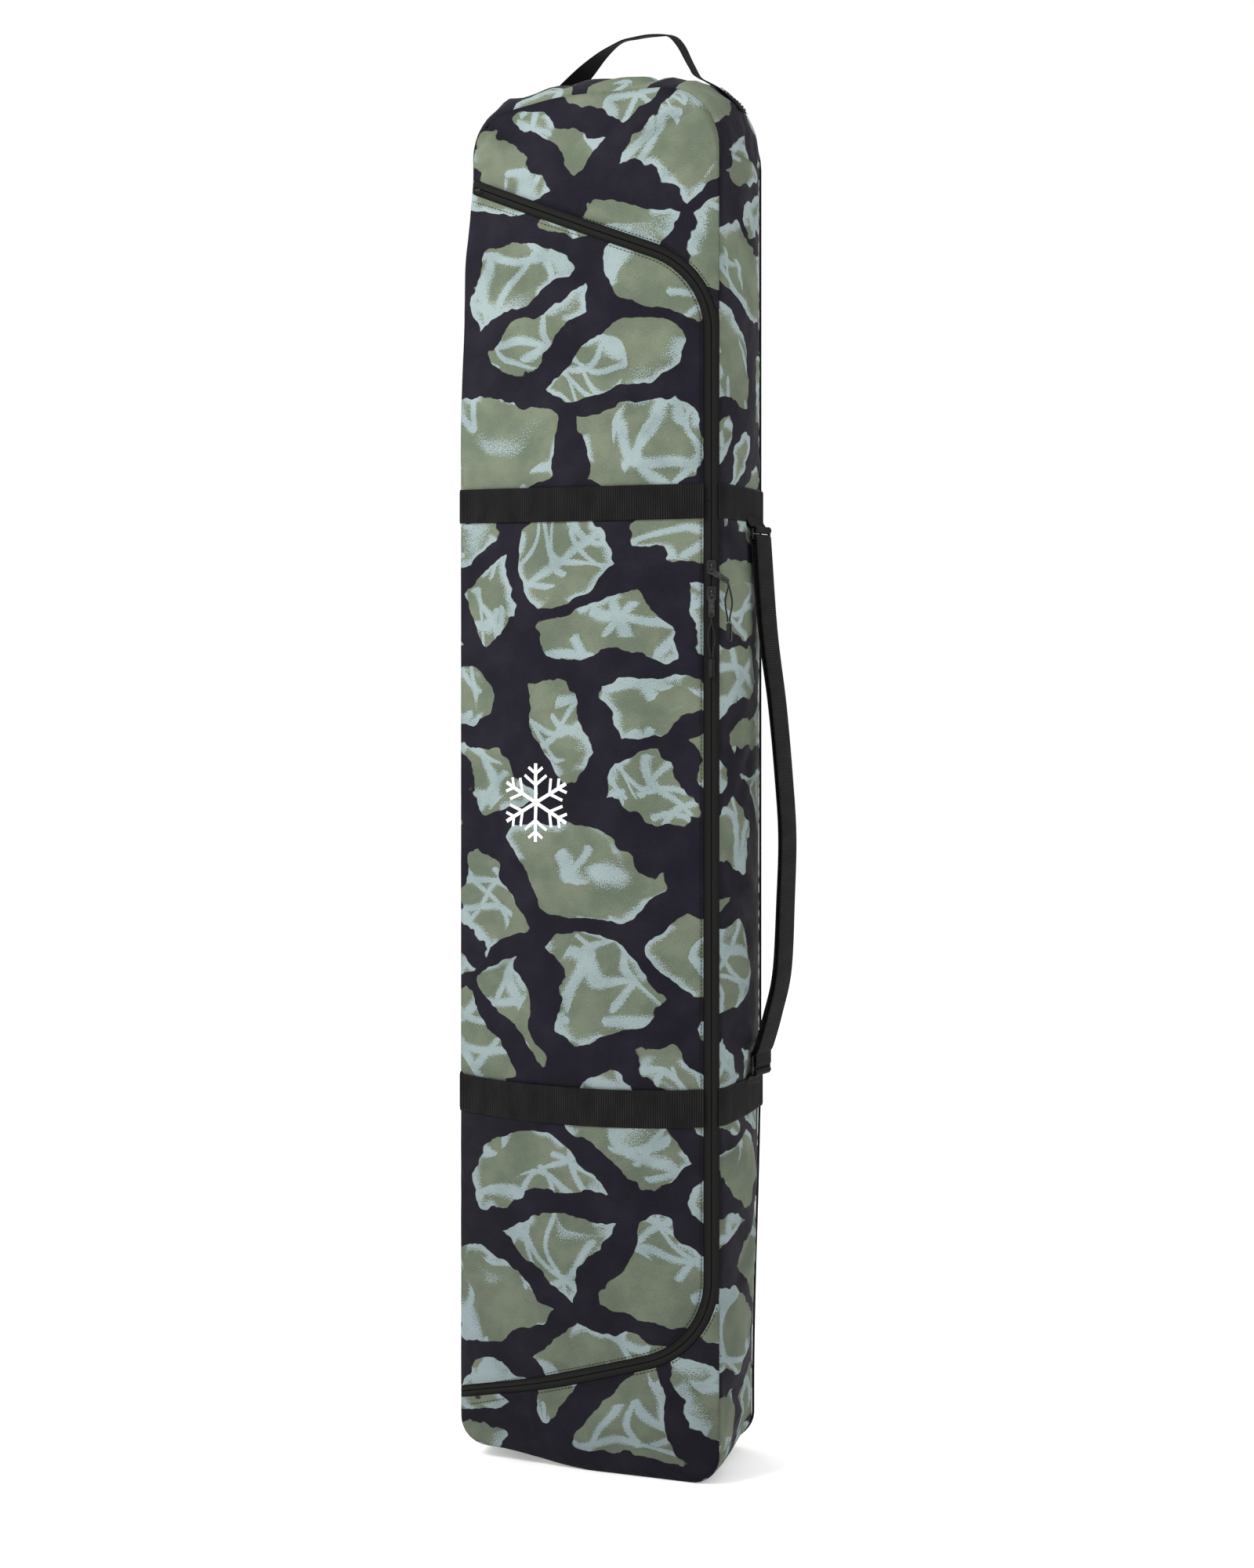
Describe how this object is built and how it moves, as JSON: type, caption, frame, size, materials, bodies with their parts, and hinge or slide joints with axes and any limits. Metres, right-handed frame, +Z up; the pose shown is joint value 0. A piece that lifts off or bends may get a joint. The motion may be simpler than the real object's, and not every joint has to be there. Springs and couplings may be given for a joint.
{
  "type": "snowboard bag",
  "caption": "Tall upright padded snowboard bag with a C-shaped zipped front flap, webbing bands, a top grab handle and a side shoulder strap.",
  "frame": {"origin": "middle of the flat base, half way between the front and back seams", "axes": "+Z up along the bag to its handle, +X to the zip side on the right, -Y the front with the flap"},
  "size_m": [0.4013, 0.1952, 1.7093],
  "materials": {
    "print_fabric": "printed polyester twill, matt",
    "lining_fabric": "plain woven lining",
    "zip_tape": "herringbone tape",
    "coil_plastic": "satin nylon",
    "webbing": "ribbed polypropylene webbing",
    "slider_metal": "black painted zinc",
    "moulded_plastic": "semi-gloss moulded acetal",
    "cord": "braided cord"
  },
  "bodies": {
    "bag": {"back_panel": "print_fabric", "gusset_left": "print_fabric", "gusset_right": "print_fabric", "gusset_top": "print_fabric", "gusset_bottom": "print_fabric", "yoke_top": "print_fabric", "yoke_bottom": "print_fabric", "lining_back": "lining_fabric", "lining_left": "lining_fabric", "lining_right": "lining_fabric", "lining_top": "lining_fabric", "lining_bottom": "lining_fabric", "piping_back": "webbing", "zip_tape_body": "zip_tape", "zip_coil_body": "coil_plastic", "zip_stop_upper": "coil_plastic", "zip_stop_lower": "coil_plastic", "band_wrap_upper": "webbing", "band_wrap_lower": "webbing", "handle_anchor_left": "webbing", "handle_anchor_right": "webbing", "strap_anchor_upper": "webbing", "strap_anchor_lower": "webbing"},
    "flap": {"flap_panel": "print_fabric", "flap_lining": "lining_fabric", "zip_tape_flap": "zip_tape", "zip_coil_flap": "coil_plastic", "band_flap_upper": "webbing", "band_flap_lower": "webbing"},
    "slider_upper": {"slider_upper": "slider_metal"},
    "slider_lower": {"slider_lower": "slider_metal"},
    "pull_upper": {"pull_tab_upper": "slider_metal", "pull_cord_upper": "cord", "pull_grip_upper": "moulded_plastic"},
    "pull_lower": {"pull_tab_lower": "slider_metal", "pull_cord_lower": "cord", "pull_grip_lower": "moulded_plastic"},
    "handle": {"handle_webbing": "webbing"},
    "strap": {"strap_webbing": "webbing", "strap_tab_upper": "webbing", "strap_tab_lower": "webbing", "ring_upper": "moulded_plastic", "tri_glide": "moulded_plastic"}
  },
  "joints": [
    {"name": "flap_hinge", "type": "hinge", "parent": "bag", "child": "flap", "pos_m": [-0.1655, -0.078, 0.795], "axis": [0, 0, -1], "range_deg": [0, 150]},
    {"name": "slider_upper_slide", "type": "slide", "parent": "flap", "child": "slider_upper", "axis": [0, 0, 1], "range_m": [0, 0.26]},
    {"name": "slider_lower_slide", "type": "slide", "parent": "flap", "child": "slider_lower", "axis": [0, 0, -1], "range_m": [0, 0.72]},
    {"name": "pull_upper_swing", "type": "hinge", "parent": "slider_upper", "child": "pull_upper", "pos_m": [0.1571, -0.0815, 1.06], "axis": [-0.944, -0.33, 0], "range_deg": [0, 110]},
    {"name": "pull_lower_swing", "type": "hinge", "parent": "slider_lower", "child": "pull_lower", "pos_m": [0.1571, -0.0815, 1.03], "axis": [-0.944, -0.33, 0], "range_deg": [0, 110]},
    {"name": "handle_swing", "type": "hinge", "parent": "bag", "child": "handle", "pos_m": [0.0146, 0.0241, 1.6545], "axis": [0.9761, -0.2096, 0.0574], "range_deg": [-30, 50]},
    {"name": "strap_swing", "type": "hinge", "parent": "bag", "child": "strap", "pos_m": [0.1842, 0.022, 0.7865], "axis": [0, 0, 1], "range_deg": [-4, 18]}
  ]
}
